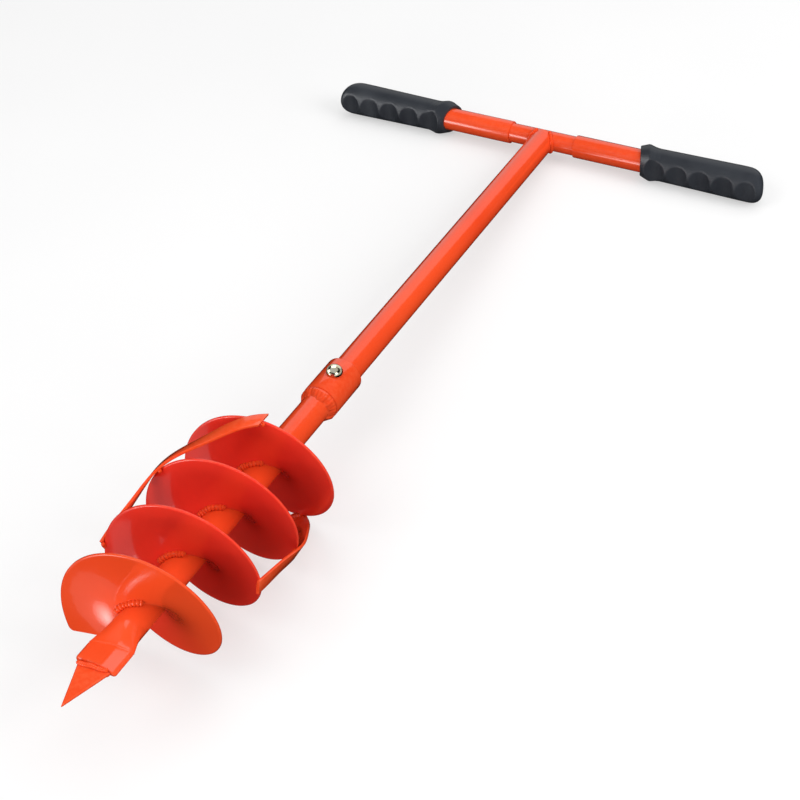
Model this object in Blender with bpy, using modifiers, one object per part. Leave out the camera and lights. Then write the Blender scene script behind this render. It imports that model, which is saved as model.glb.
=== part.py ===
"""Post hole digger: a hand earth auger with a T handle, lying at rest on the floor.

Everything is laid out in the tool frame, in metres: Z runs along the shaft from the tip of the
blade to the crossbar, X along the crossbar, Y towards the floor. An empty carries that frame into
the row frame, where the tool rests on its last flight, the end of one flat bar and its two grips.
"""

import math

import bpy
from mathutils import Matrix, Vector

MM = 0.001

# Driving dimensions, in millimetres
CROSSBAR_AT = 823.5
CORE_R, CORE_BORE, CORE_HALF = 9.94, 8.3, 224.5
SLEEVE_R, SLEEVE_BORE, SLEEVE_FROM, SLEEVE_TO = 11.63, 10.3, 36.0, 225.0
GRIP_FROM, GRIP_TO, GRIP_BORE = 106.5, 235.3, 11.95
GRIP_LEAN = 0.36  # the finger side reaches this much further out per mm of radius
GRIP_R_IN, GRIP_R_OUT, FLANGE_R = 16.1, 17.2, 18.2
GROOVE_PITCH, GROOVE_FIRST, GROOVES = 23.9, 127.0, 5
GROOVE_R, GROOVE_DEPTH = 17.5, 3.4
TUBE_R, RISER_BORE, SHAFT_BORE = 12.7, 10.7, 10.4
RISER_FROM, RISER_TO = 372.6, 817.0
SOCKET_R, SOCKET_BORE, SOCKET_FROM, SOCKET_TO = 16.9, 13.0, 361.0, 403.0
SHAFT_TOP = 372.0
CRUSH_FROM, CRUSH_TO, ROUND_FROM = 40.0, 57.5, 76.0
CRUSH_HALF_W, CRUSH_HALF_T = 17.6, 3.6
BLADE_TO, BLADE_HALF_W, BLADE_T = 38.4, 14.0, 2.4
FLIGHT_R, FLIGHT_ROOT, SHEET_T = 61.8, 13.05, 2.3
PITCH, LEAD_DEG, LEAD_S = 55.3, 157.0, 78.12
TURNS, TURN_GAP_DEG, LEAD_CORNER_R = 4, 1.6, 12.0
BAR_W, BAR_T, BAR_GAP, BAR_OVERHANG, BAR_SAG = 12.0, 2.4, 0.35, 6.0, 0.55
BAR_UPPER = ((-80.0, 262.0), (-137.0, 200.0), (-172.0, 139.5))
BAR_LOWER = ((74.0, 285.0), (27.0, 223.5), (5.0, 165.0))
BOLT_AT, BOLT_R, HEAD_R, HEAD_H = 384.0, 2.95, 7.3, 6.4
BOLT_LEAN = math.radians(8.3)  # the bolt's holes were drilled this far round the shaft
NECK_HALF, NECK_H, BOLT_END = 2.9, 3.2, 28.2
WASHER_R, WASHER_T, SPRING_R, SPRING_T = 6.4, 1.2, 5.2, 1.5
NUT_FLATS, NUT_H, SMALL_BORE = 10.0, 5.0, 3.3
GAP = 0.3
TILT_DEG = 4.884
REST_HEIGHT = 88.25
REST_Y = -419.0

RED = (0.80, 0.075, 0.018, 1.0)
BLACK = (0.022, 0.024, 0.027, 1.0)
ZINC = (0.72, 0.66, 0.42, 1.0)


def clear():
    for obj in list(bpy.data.objects):
        bpy.data.objects.remove(obj)


clear()
DIGGER = bpy.data.collections.new("post_hole_digger")
CUTTERS = bpy.data.collections.new("cutters")
bpy.context.scene.collection.children.link(DIGGER)
bpy.context.scene.collection.children.link(CUTTERS)
CUTTERS.hide_render = True

FRAME = bpy.data.objects.new("tool_frame", None)
FRAME.rotation_euler = (-math.pi / 2 - math.radians(TILT_DEG), 0, 0)
FRAME.location = (0, REST_Y * MM, REST_HEIGHT * MM)
DIGGER.objects.link(FRAME)


def material(name, colour, roughness, metallic, coat=0.0):
    mat = bpy.data.materials.new(name)
    mat.use_nodes = True
    shader = mat.node_tree.nodes["Principled BSDF"]
    shader.inputs["Base Color"].default_value = colour
    shader.inputs["Roughness"].default_value = roughness
    shader.inputs["Metallic"].default_value = metallic
    shader.inputs["Coat Weight"].default_value = coat
    return mat


def add(name, data, look, at=(0, 0, 0), turn=(0, 0, 0), cutter=False):
    obj = bpy.data.objects.new(name, data)
    obj.location = [v * MM for v in at]
    obj.rotation_euler = turn
    obj.parent = FRAME
    (CUTTERS if cutter else DIGGER).objects.link(obj)
    if cutter:
        obj.hide_render = True
        obj.display_type = "WIRE"
    else:
        kinds = {
            "enamel": (RED, 0.14, 0.0, 1.0),
            "rubber": (BLACK, 0.5, 0.0, 0.0),
            "zinc": (ZINC, 0.2, 1.0, 0.0),
        }
        obj.data.materials.append(material(name + "_look", *kinds[look]))
    return obj


def mesh(name, points, edges=(), faces=()):
    data = bpy.data.meshes.new(name)
    data.from_pydata([[v * MM for v in p] for p in points], list(edges), list(faces))
    data.update()
    return data


def smooth(obj, degrees=35):
    for poly in obj.data.polygons:
        poly.use_smooth = True
    obj.data.set_sharp_from_angle(angle=math.radians(degrees))


def profile_mesh(name, profile, closed=True):
    n = len(profile)
    edges = [(i, i + 1) for i in range(n - 1)] + ([(n - 1, 0)] if closed else [])
    return mesh(name, [(r, 0, z) for r, z in profile], edges)


def spin(obj, steps, angle=360.0, offset=0.0):
    screw = obj.modifiers.new("Screw", "SCREW")
    screw.axis = "Z"
    screw.angle = math.radians(angle)
    screw.screw_offset = offset * MM
    screw.steps = screw.render_steps = steps
    screw.use_merge_vertices = angle == 360.0
    screw.merge_threshold = 1e-6
    screw.use_smooth_shade = True
    return screw


def turned(name, profile, look, steps=32, at=(0, 0, 0), turn=(0, 0, 0), cutter=False, closed=True):
    """A ring or solid of revolution: the profile runs top to bottom on its outer side."""
    obj = add(name, profile_mesh(name, profile, closed), look, at, turn, cutter)
    spin(obj, steps)
    return obj


def tube_profile(r_out, r_in, z0, z1, chamfer=0.4):
    return [
        (r_out - chamfer, z1),
        (r_out, z1 - chamfer),
        (r_out, z0 + chamfer),
        (r_out - chamfer, z0),
        (r_in, z0),
        (r_in, z1),
    ]


def cut(obj, cutter):
    boolean = obj.modifiers.new("Cut_" + cutter.name, "BOOLEAN")
    boolean.operation = "DIFFERENCE"
    boolean.solver = "EXACT"
    boolean.object = cutter


def rod_cutter(name, r, z0, z1, at, turn, steps=24):
    return turned(name, [(0, z1), (r, z1), (r, z0), (0, z0)], "", steps, at, turn, True, closed=False)


def bead(name, path, radius, look="enamel", cyclic=False, sides=2):
    """A weld bead: a round section swept along a path."""
    curve = bpy.data.curves.new(name, "CURVE")
    curve.dimensions = "3D"
    curve.bevel_depth = radius * MM
    curve.bevel_resolution = sides
    curve.use_fill_caps = not cyclic
    spline = curve.splines.new("POLY")
    spline.points.add(len(path) - 1)
    for point, p in zip(spline.points, path):
        point.co = (p[0] * MM, p[1] * MM, p[2] * MM, 1)
    spline.use_cyclic_u = cyclic
    spline.use_smooth = True
    return add(name, curve, look)


def around(degrees, r, s):
    a = math.radians(degrees)
    return (r * math.cos(a), r * math.sin(a), s)


# ---------------------------------------------------------------- the crushed lower shaft
def crushed_section(s, blend, half_w, half_t, n=32):
    """A ring at height s: a circle when blend is 1, a flat stadium when it is 0."""
    ring = []
    straight = half_w - half_t
    for k in range(n):
        a = 2 * math.pi * (k + 0.5) / n
        circle = (TUBE_R * math.cos(a), TUBE_R * math.sin(a))
        c = math.cos(a)
        flat_x = straight * math.copysign(min(1.0, abs(c) * 1.55), c) + half_t * math.copysign(
            max(0.0, (abs(c) - 0.645) / 0.355) ** 0.7, c
        )
        over = max(0.0, abs(flat_x) - straight)
        flat_y = math.copysign(math.sqrt(max(0.0, half_t**2 - over**2)), math.sin(a))
        flat_y = math.copysign(max(abs(flat_y), 0.5), math.sin(a))
        ring.append(
            (
                circle[0] * blend + flat_x * (1 - blend),
                circle[1] * blend + flat_y * (1 - blend),
                s,
            )
        )
    return ring


def loft(rings, extra_rings=()):
    """Closed body from rings of equal count; both ends capped with a fan-free polygon."""
    n = len(rings[0])
    points = [p for ring in rings for p in ring]
    faces = [tuple(reversed(range(n)))]
    for i in range(len(rings) - 1):
        for k in range(n):
            m = (k + 1) % n
            faces.append((i * n + k, i * n + m, (i + 1) * n + m, (i + 1) * n + k))
    faces.append(tuple(range((len(rings) - 1) * n, len(rings) * n)))
    return points, faces


def ease(t):
    t = min(1.0, max(0.0, t))
    return t * t * (3 - 2 * t)


rings = [
    crushed_section(CRUSH_FROM, 0.0, CRUSH_HALF_W - 0.7, CRUSH_HALF_T - 0.5),
    crushed_section(CRUSH_FROM + 1.0, 0.0, CRUSH_HALF_W, CRUSH_HALF_T),
    crushed_section(CRUSH_TO, 0.02, CRUSH_HALF_W, CRUSH_HALF_T),
]
for k in range(1, 7):
    t = k / 6
    rings.append(
        crushed_section(CRUSH_TO + (ROUND_FROM - CRUSH_TO) * t, 0.02 + 0.98 * ease(t), CRUSH_HALF_W, CRUSH_HALF_T)
    )
rings.append(crushed_section(SHAFT_TOP, 1.0, CRUSH_HALF_W, CRUSH_HALF_T))
points, faces = loft(rings)
shaft = add("auger_shaft", mesh("auger_shaft", points, (), faces), "enamel")
smooth(shaft, 30)
shaft_bore = rod_cutter("shaft_bore", SHAFT_BORE, 92.0, SHAFT_TOP + 5, (0, 0, 0), (0, 0, 0))
cut(shaft, shaft_bore)

# ---------------------------------------------------------------- the blade and its welds
blade_curve = bpy.data.curves.new("point_blade", "CURVE")
blade_curve.dimensions = "2D"
blade_curve.fill_mode = "BOTH"
blade_curve.extrude = (BLADE_T / 2 - 0.4) * MM
blade_curve.bevel_depth = 0.4 * MM
blade_curve.bevel_resolution = 0
outline = blade_curve.splines.new("POLY")
corners = [(0.0, 0.6), (BLADE_HALF_W - 0.4, BLADE_TO), (-BLADE_HALF_W + 0.4, BLADE_TO)]
outline.points.add(len(corners) - 1)
for point, (x, s) in zip(outline.points, corners):
    point.co = (x * MM, s * MM, 0, 1)
outline.use_cyclic_u = True
point_blade = add("point_blade", blade_curve, "enamel", turn=(math.pi / 2, 0, 0))

for side, sign in (("upper", -1), ("lower", 1)):
    bead(
        "blade_weld_" + side,
        [(x, sign * (BLADE_T / 2 + GAP + 1.25), BLADE_TO - 0.2) for x in (-12.4, -9, -3, 3, 9, 12.4)],
        1.2,
    )

# ---------------------------------------------------------------- the flights
def flight(index):
    name = f"flight_{index + 1}"
    start = LEAD_DEG + TURN_GAP_DEG / 2
    sweep = 360.0 - TURN_GAP_DEG
    radii = [FLIGHT_ROOT + (FLIGHT_R - FLIGHT_ROOT) * k / 3 for k in range(4)]
    data = mesh(name, [(r, 0, 0) for r in radii], [(k, k + 1) for k in range(3)])
    obj = add(
        name,
        data,
        "enamel",
        at=(0, 0, LEAD_S + PITCH * index + PITCH * TURN_GAP_DEG / 720),
        turn=(0, 0, math.radians(start)),
    )
    spin(obj, 40, sweep, PITCH * sweep / 360)
    solid = obj.modifiers.new("Solidify", "SOLIDIFY")
    solid.thickness = SHEET_T * MM
    solid.offset = 0
    return obj


flights = [flight(k) for k in range(TURNS)]

# The lead corner of the first flight is rounded off: this prism is what a round corner leaves out.
centre_r = FLIGHT_R - LEAD_CORNER_R
swing = math.degrees(math.asin(LEAD_CORNER_R / centre_r))
lead = LEAD_DEG + TURN_GAP_DEG / 2
cx, cy, _ = around(lead + swing, centre_r, 0)
arc = []
for k in range(9):
    a = math.radians(lead - 90 + (90 + swing) * k / 8)
    arc.append((cx + LEAD_CORNER_R * math.cos(a), cy + LEAD_CORNER_R * math.sin(a)))
outside = [around(lead + swing, FLIGHT_R + 8, 0)[:2], around(lead - 8, FLIGHT_R + 8, 0)[:2], around(lead - 8, centre_r * math.cos(math.radians(swing)), 0)[:2]]
shape = arc + outside
n = len(shape)
corner = mesh(
    "lead_corner",
    [(x, y, LEAD_S - 14) for x, y in shape] + [(x, y, LEAD_S + 14) for x, y in shape],
    (),
    [tuple(range(n)), tuple(reversed(range(n, 2 * n)))] + [(k, n + k, n + (k + 1) % n, (k + 1) % n) for k in range(n)],
)
corner_cutter = add("lead_corner", corner, "", cutter=True)
cut(flights[0], corner_cutter)

for index in range(TURNS):
    first = LEAD_DEG + 56 + 360 * index
    path = []
    for k in range(13):
        degrees = first + 78 * k / 12
        s = LEAD_S + PITCH * (degrees - LEAD_DEG) / 360
        path.append(around(degrees, TUBE_R + GAP + 2.0, s - SHEET_T / 2 - GAP - 2.3))
    bead(f"flight_weld_{index + 1}", path, 1.7, sides=1)


# ---------------------------------------------------------------- the two flat bars on the rims
def bar(name, knots):
    """A flat bar laid over three rims, its flat side facing out, sagging a little between them."""
    reach = FLIGHT_R + BAR_GAP + BAR_T / 2 + 0.3
    (a0, s0), (a1, s1), (a2, s2) = knots
    first = math.hypot(s1 - s0, math.radians(a1 - a0) * reach)
    second = math.hypot(s2 - s1, math.radians(a2 - a1) * reach)
    u1 = first / (first + second)
    e0, e1 = -BAR_OVERHANG / (first + second), 1 + BAR_OVERHANG / (first + second)
    sag = [BAR_SAG * reach * (1 - math.cos(math.radians(turn) / 2)) for turn in (a1 - a0, a2 - a1)]
    count = 17

    def at(u):
        l0 = (u - u1) * (u - 1) / u1
        l1 = u * (u - 1) / (u1 * (u1 - 1))
        l2 = u * (u - u1) / (1 - u1)
        v = u / u1 if u < u1 else (u - u1) / (1 - u1)
        dip = sag[0 if u < u1 else 1] * math.sin(math.pi * v) ** 2 if 0 < u < 1 else 0.0
        return Vector(around(a0 * l0 + a1 * l1 + a2 * l2, reach - dip, s0 * l0 + s1 * l1 + s2 * l2))

    rings = []
    for k in range(count):
        u = e0 + (e1 - e0) * k / (count - 1)
        centre = at(u)
        along = (at(u + 0.01) - at(u - 0.01)).normalized()
        out = Vector((centre.x, centre.y, 0)).normalized()
        out = (out - along * out.dot(along)).normalized()
        across = out.cross(along)
        ring = [
            centre + across * (BAR_W / 2 * a) + out * (BAR_T / 2 * b)
            for a, b in ((-1, -1), (1, -1), (1, 1), (-1, 1))
        ]
        rings.append([tuple(q) for q in ring])
    points, faces = loft(rings)
    obj = add(name, mesh(name, points, (), faces), "enamel")
    smooth(obj, 40)
    return obj


bar("side_bar_upper", BAR_UPPER)
bar("side_bar_lower", BAR_LOWER)

# ---------------------------------------------------------------- the socket and its weld
bolt_turn = (math.pi / 2, 0, BOLT_LEAN)
socket = turned("socket", tube_profile(SOCKET_R, SOCKET_BORE, SOCKET_FROM, SOCKET_TO, 0.5), "enamel", 40)
bolt_bore = rod_cutter("bolt_bore", SMALL_BORE, -30, 30, (0, 0, BOLT_AT), bolt_turn)
neck = NECK_HALF + GAP
neck_hole = mesh(
    "neck_hole",
    [(x, y, z) for x in (-neck, neck) for y in (-SOCKET_R - 3, -TUBE_R - 0.1) for z in (BOLT_AT - neck, BOLT_AT + neck)],
    (),
    [(0, 1, 3, 2), (4, 6, 7, 5), (0, 4, 5, 1), (2, 3, 7, 6), (0, 2, 6, 4), (1, 5, 7, 3)],
)
neck_cutter = add("neck_hole", neck_hole, "", turn=(0, 0, BOLT_LEAN), cutter=True)
cut(socket, bolt_bore)
cut(socket, neck_cutter)
weld_top = SOCKET_FROM - GAP
turned(
    "socket_weld",
    [
        (SOCKET_R - 0.6, weld_top),
        (SOCKET_R, weld_top - 1.5),
        (SOCKET_R - 0.3, weld_top - 4.1),
        (SOCKET_R - 1.5, weld_top - 7.3),
        (TUBE_R + 0.9, weld_top - 10.1),
        (TUBE_R + GAP, weld_top - 10.4),
        (TUBE_R + GAP, weld_top),
    ],
    "enamel",
    32,
)

# ---------------------------------------------------------------- the T handle
riser = turned("riser_tube", tube_profile(TUBE_R, RISER_BORE, RISER_FROM, RISER_TO, 0.3), "enamel", 32)
cope = rod_cutter("core_cope", CORE_R + GAP, -40, 40, (0, 0, CROSSBAR_AT), (0, math.pi / 2, 0), 40)
cut(riser, cope)
cut(riser, bolt_bore)

along_x = (0, math.pi / 2, 0)
turned("crossbar_core", tube_profile(CORE_R, CORE_BORE, -CORE_HALF, CORE_HALF, 0.3), "enamel", 32, (0, 0, CROSSBAR_AT), along_x)


def grip_rows():
    """(radius, distance out along the bar, how much of the lean it takes), from the bore's end round to the tip."""
    dome = 17.0
    rows = [
        (0.0, SLEEVE_TO + 1.2, 0),
        (GRIP_BORE, SLEEVE_TO + 1.2, 0),
        (GRIP_BORE, GRIP_FROM, 1),
        (FLANGE_R - 3.6, GRIP_FROM, 1),
        (FLANGE_R - 2.8, GRIP_FROM + 0.6, 1),
        (FLANGE_R - 0.2, GRIP_FROM + 8.5, 1),
        (FLANGE_R, GRIP_FROM + 11.0, 1),
        (GRIP_R_IN + 0.3, GRIP_FROM + 16.0, 1),
        (GRIP_R_IN, GRIP_FROM + 20.0, 1),
    ]
    for v in (0.0, 0.35, 0.6, 0.8, 0.92, 0.98, 1.0):
        rows.append((GRIP_R_OUT * (1 - v**2.8) ** (1 / 2.8), GRIP_TO - dome + dome * v, 1))
    return rows


def grip_mesh(sign, sides=32):
    verts, faces, rings = [], [], []
    for radius, out, lean in grip_rows():
        if radius < 1e-6:
            rings.append([len(verts)] * sides)
            verts.append((sign * out, 0, CROSSBAR_AT))
            continue
        rings.append(list(range(len(verts), len(verts) + sides)))
        for k in range(sides):
            a = 2 * math.pi * k / sides
            x = out + lean * GRIP_LEAN * radius * math.cos(a)
            verts.append((sign * x, radius * math.sin(a), CROSSBAR_AT - radius * math.cos(a)))
    for first, second in zip(rings, rings[1:]):
        for k in range(sides):
            m = (k + 1) % sides
            face = []
            for corner in (first[k], second[k], second[m], first[m]):
                if corner not in face:
                    face.append(corner)
            faces.append(face if sign < 0 else face[::-1])
    return verts, faces


for side, sign in (("left", -1), ("right", 1)):
    turn = (0, sign * math.pi / 2, 0)
    turned(
        "sleeve_" + side,
        tube_profile(SLEEVE_R, SLEEVE_BORE, SLEEVE_FROM, SLEEVE_TO, 0.3),
        "enamel",
        32,
        (0, 0, CROSSBAR_AT),
        turn,
    )
    verts, faces = grip_mesh(sign)
    grip = add("grip_" + side, mesh("grip_" + side, verts, faces=faces), "rubber")
    smooth(grip, 50)
    for k in range(GROOVES):
        x = sign * (GROOVE_FIRST + GROOVE_PITCH * k)
        radius = GRIP_R_IN + (GRIP_R_OUT - GRIP_R_IN) * k / (GROOVES - 1)
        groove = rod_cutter(
            f"groove_{side}_{k + 1}",
            GROOVE_R,
            -30,
            30,
            (x, 4.0, CROSSBAR_AT - radius - GROOVE_R + GROOVE_DEPTH),
            (math.pi / 2, 0, 0),
            28,
        )
        cut(grip, groove)

for side, sign in (("left", -1), ("right", 1)):
    path = []
    reach = TUBE_R + GAP + 1.6
    for k in range(11):
        phi = math.radians(-44 + 88 * k / 10)
        x, y = sign * reach * math.cos(phi), reach * math.sin(phi)
        drop = math.sqrt((CORE_R + GAP + 1.6) ** 2 - y * y)
        path.append((x, y, CROSSBAR_AT - drop))
    bead("tee_weld_" + side, path, 1.4, sides=1)

# ---------------------------------------------------------------- the bolt, its washers and nut
at_bolt = (0, 0, BOLT_AT)
head_base = SOCKET_R + GAP
# Local Z of these pieces points away from the floor, out of the bolt's head.
head = [(0.0, head_base + HEAD_H)]
for k in range(1, 8):
    a = math.radians(90 - 90 * k / 7 * 0.93)
    head.append((HEAD_R * math.cos(a), head_base + HEAD_H * math.sin(a)))
head += [
    (HEAD_R, head_base + 0.2),
    (HEAD_R - 0.4, head_base),
    (BOLT_R, head_base),
    (BOLT_R, -BOLT_END + 0.5),
    (BOLT_R - 0.5, -BOLT_END),
    (0.0, -BOLT_END),
]
bolt = turned("carriage_bolt", head, "zinc", 28, at_bolt, bolt_turn, closed=False)
neck_block = mesh(
    "square_neck",
    [(x, y, z) for x in (-NECK_HALF, NECK_HALF) for y in (-NECK_HALF, NECK_HALF) for z in (head_base - NECK_H, head_base + 0.6)],
    (),
    [(0, 1, 3, 2), (4, 6, 7, 5), (0, 4, 5, 1), (2, 3, 7, 6), (0, 2, 6, 4), (1, 5, 7, 3)],
)
neck_tool = add("square_neck", neck_block, "", at_bolt, bolt_turn, cutter=True)
union = bolt.modifiers.new("Neck", "BOOLEAN")
union.operation = "UNION"
union.solver = "EXACT"
union.object = neck_tool

washer_top = -(SOCKET_R + GAP)
washer = turned(
    "flat_washer", tube_profile(WASHER_R, SMALL_BORE, washer_top - WASHER_T, washer_top, 0.15), "zinc", 28, at_bolt, bolt_turn
)
spring_top = washer_top - WASHER_T - 0.1
spring = turned(
    "spring_washer", tube_profile(SPRING_R, SMALL_BORE, spring_top - SPRING_T, spring_top, 0.15), "zinc", 28, at_bolt, bolt_turn
)
slit = mesh(
    "spring_slit",
    [(x, y, z) for x in (-0.5, 0.5) for y in (1, 9) for z in (spring_top - 4, spring_top + 1)],
    (),
    [(0, 1, 3, 2), (4, 6, 7, 5), (0, 4, 5, 1), (2, 3, 7, 6), (0, 2, 6, 4), (1, 5, 7, 3)],
)
slit_cutter = add("spring_slit", slit, "", at_bolt, (math.pi / 2, 0, 0.5 + BOLT_LEAN), cutter=True)
cut(spring, slit_cutter)

nut_top = spring_top - SPRING_T - 0.1
nut_r = NUT_FLATS / math.sqrt(3)
hexagon = []
for k in range(6):
    a = math.radians(60 * k + 30)
    hexagon.append((nut_r * math.cos(a), nut_r * math.sin(a)))
nut_mesh = mesh(
    "hex_nut",
    [(x, y, nut_top - NUT_H) for x, y in hexagon] + [(x, y, nut_top) for x, y in hexagon],
    (),
    [tuple(reversed(range(6))), tuple(range(6, 12))] + [(k, (k + 1) % 6, 6 + (k + 1) % 6, 6 + k) for k in range(6)],
)
nut = add("hex_nut", nut_mesh, "zinc", at_bolt, bolt_turn)
nut_bore = rod_cutter("nut_bore", SMALL_BORE - 0.05, nut_top - NUT_H - 2, nut_top + 2, at_bolt, bolt_turn, 20)
cut(nut, nut_bore)
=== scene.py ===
import math

import bpy
import numpy as np
from mathutils import Matrix, Vector


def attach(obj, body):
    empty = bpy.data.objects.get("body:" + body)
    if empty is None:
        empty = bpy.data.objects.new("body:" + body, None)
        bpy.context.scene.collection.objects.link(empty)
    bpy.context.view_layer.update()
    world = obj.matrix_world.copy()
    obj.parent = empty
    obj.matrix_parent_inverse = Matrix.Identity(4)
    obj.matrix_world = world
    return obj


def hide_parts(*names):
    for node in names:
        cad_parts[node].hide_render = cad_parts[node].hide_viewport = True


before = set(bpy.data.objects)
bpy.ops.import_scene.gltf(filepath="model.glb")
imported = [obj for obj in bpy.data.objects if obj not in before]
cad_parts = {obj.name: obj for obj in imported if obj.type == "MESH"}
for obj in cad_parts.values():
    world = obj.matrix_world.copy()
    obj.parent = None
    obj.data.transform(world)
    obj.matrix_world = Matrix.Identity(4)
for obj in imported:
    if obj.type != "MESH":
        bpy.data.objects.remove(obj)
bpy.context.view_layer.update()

# ------------------------------------------------------------------ the tool frame, in millimetres
TILT = math.radians(4.884)
REST_HEIGHT, REST_Y = 88.25, -419.0
SIN, COS = math.sin(TILT), math.cos(TILT)
TO_ROW = np.array([[1, 0, 0], [0, -SIN, COS], [0, -COS, -SIN]])
SHIFT = np.array([0.0, REST_Y, REST_HEIGHT])

CROSSBAR_AT = 823.5
CORE_R, CORE_BORE, CORE_HALF = 9.94, 8.3, 224.5
SLEEVE_R, SLEEVE_BORE, SLEEVE_FROM, SLEEVE_TO = 11.63, 10.3, 36.0, 225.0
GRIP_FROM, GRIP_TO, GRIP_BORE, GRIP_LEAN = 106.5, 235.0, 11.7, 0.36
GRIP_R_IN, GRIP_R_OUT, FLANGE_R = 16.1, 17.2, 18.15
GROOVE_PITCH, GROOVE_FIRST, GROOVES = 23.9, 127.0, 5
GROOVE_R, GROOVE_DEPTH = 16.5, 3.9
TUBE_R, RISER_BORE, SHAFT_BORE = 12.7, 10.7, 10.4
RISER_FROM = 372.6
SOCKET_R, SOCKET_BORE, SOCKET_FROM, SOCKET_TO = 16.9, 12.85, 361.0, 403.0
SHAFT_TOP = 372.0
CRUSH_FROM, CRUSH_TO, ROUND_FROM = 40.0, 57.5, 76.0
CRUSH_HALF_W, CRUSH_HALF_T = 17.6, 3.6
BLADE_TO, BLADE_HALF_W, BLADE_T = 39.4, 14.0, 2.4
FLIGHT_R, FLIGHT_ROOT, SHEET_T = 61.8, 12.2, 2.3
PITCH, LEAD_DEG, LEAD_S = 55.3, 157.0, 78.12
LEAD_RIM_DEG, LEAD_ROOT_DEG, LEAD_CORNER_R = 155.6, 127.0, 5.0
TURNS = 4
BAR_W, BAR_T, BAR_GAP, BAR_OVERHANG, BAR_SAG = 12.0, 2.4, 0.0, 6.0, 0.55
BAR_UPPER = ((-80.0, 262.0), (-137.0, 200.0), (-172.0, 139.5))
BAR_LOWER = ((74.0, 285.0), (27.0, 223.5), (5.0, 165.0))
BOLT_AT, BOLT_R, HEAD_R, HEAD_H, BOLT_END = 384.0, 2.95, 7.3, 6.4, 28.2

TOOL = (np.array([0.0, 0.0, 0.0]), np.eye(3))
RIGHT = (np.array([0.0, 0.0, CROSSBAR_AT]), np.array([[0, 0, 1.0], [0, 1, 0], [-1, 0, 0]]))
LEFT = (np.array([0.0, 0.0, CROSSBAR_AT]), np.array([[0, 0, -1.0], [0, 1, 0], [1, 0, 0]]))
LEAN = math.radians(8.3)
BOLT = (
    np.array([0.0, 0.0, BOLT_AT]),
    np.array([[math.cos(LEAN), -math.sin(LEAN), 0], [math.sin(LEAN), math.cos(LEAN), 0], [0, 0, 1.0]])
    @ np.array([[1.0, 0, 0], [0, 0, -1], [0, 1, 0]]),
)


def to_row(points, place=TOOL):
    points = np.asarray(points, float) @ place[1].T + place[0]
    return (points @ TO_ROW.T + SHIFT) / 1000


def ease(t):
    t = min(1.0, max(0.0, t))
    return t * t * (3 - 2 * t)


# ------------------------------------------------------------------ materials
def node(tree, kind, at=(0, 0), **values):
    made = tree.nodes.new(kind)
    made.location = at
    for key, value in values.items():
        if hasattr(made, key):
            setattr(made, key, value)
        else:
            made.inputs[key].default_value = value
    return made


def ramp(tree, source, stops, at=(0, 0)):
    made = tree.nodes.new("ShaderNodeValToRGB")
    made.location = at
    elements = made.color_ramp.elements
    elements[0].position, elements[0].color = stops[0][0], (*stops[0][1], 1)
    elements[1].position, elements[1].color = stops[-1][0], (*stops[-1][1], 1)
    for position, colour in stops[1:-1]:
        extra = elements.new(position)
        extra.color = (*colour, 1)
    tree.links.new(source, made.inputs["Fac"])
    return made


def noise(tree, vector, scale, detail=3.0, rough=0.5, at=(0, 0)):
    made = tree.nodes.new("ShaderNodeTexNoise")
    made.location = at
    made.inputs["Scale"].default_value = scale
    made.inputs["Detail"].default_value = detail
    made.inputs["Roughness"].default_value = rough
    tree.links.new(vector, made.inputs["Vector"])
    return made


def blank(name):
    mat = bpy.data.materials.new(name)
    mat.use_nodes = True
    tree = mat.node_tree
    shader = tree.nodes["Principled BSDF"]
    coords = node(tree, "ShaderNodeTexCoord", (-1400, 0))
    return mat, tree, shader, coords.outputs["Object"]


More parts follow.
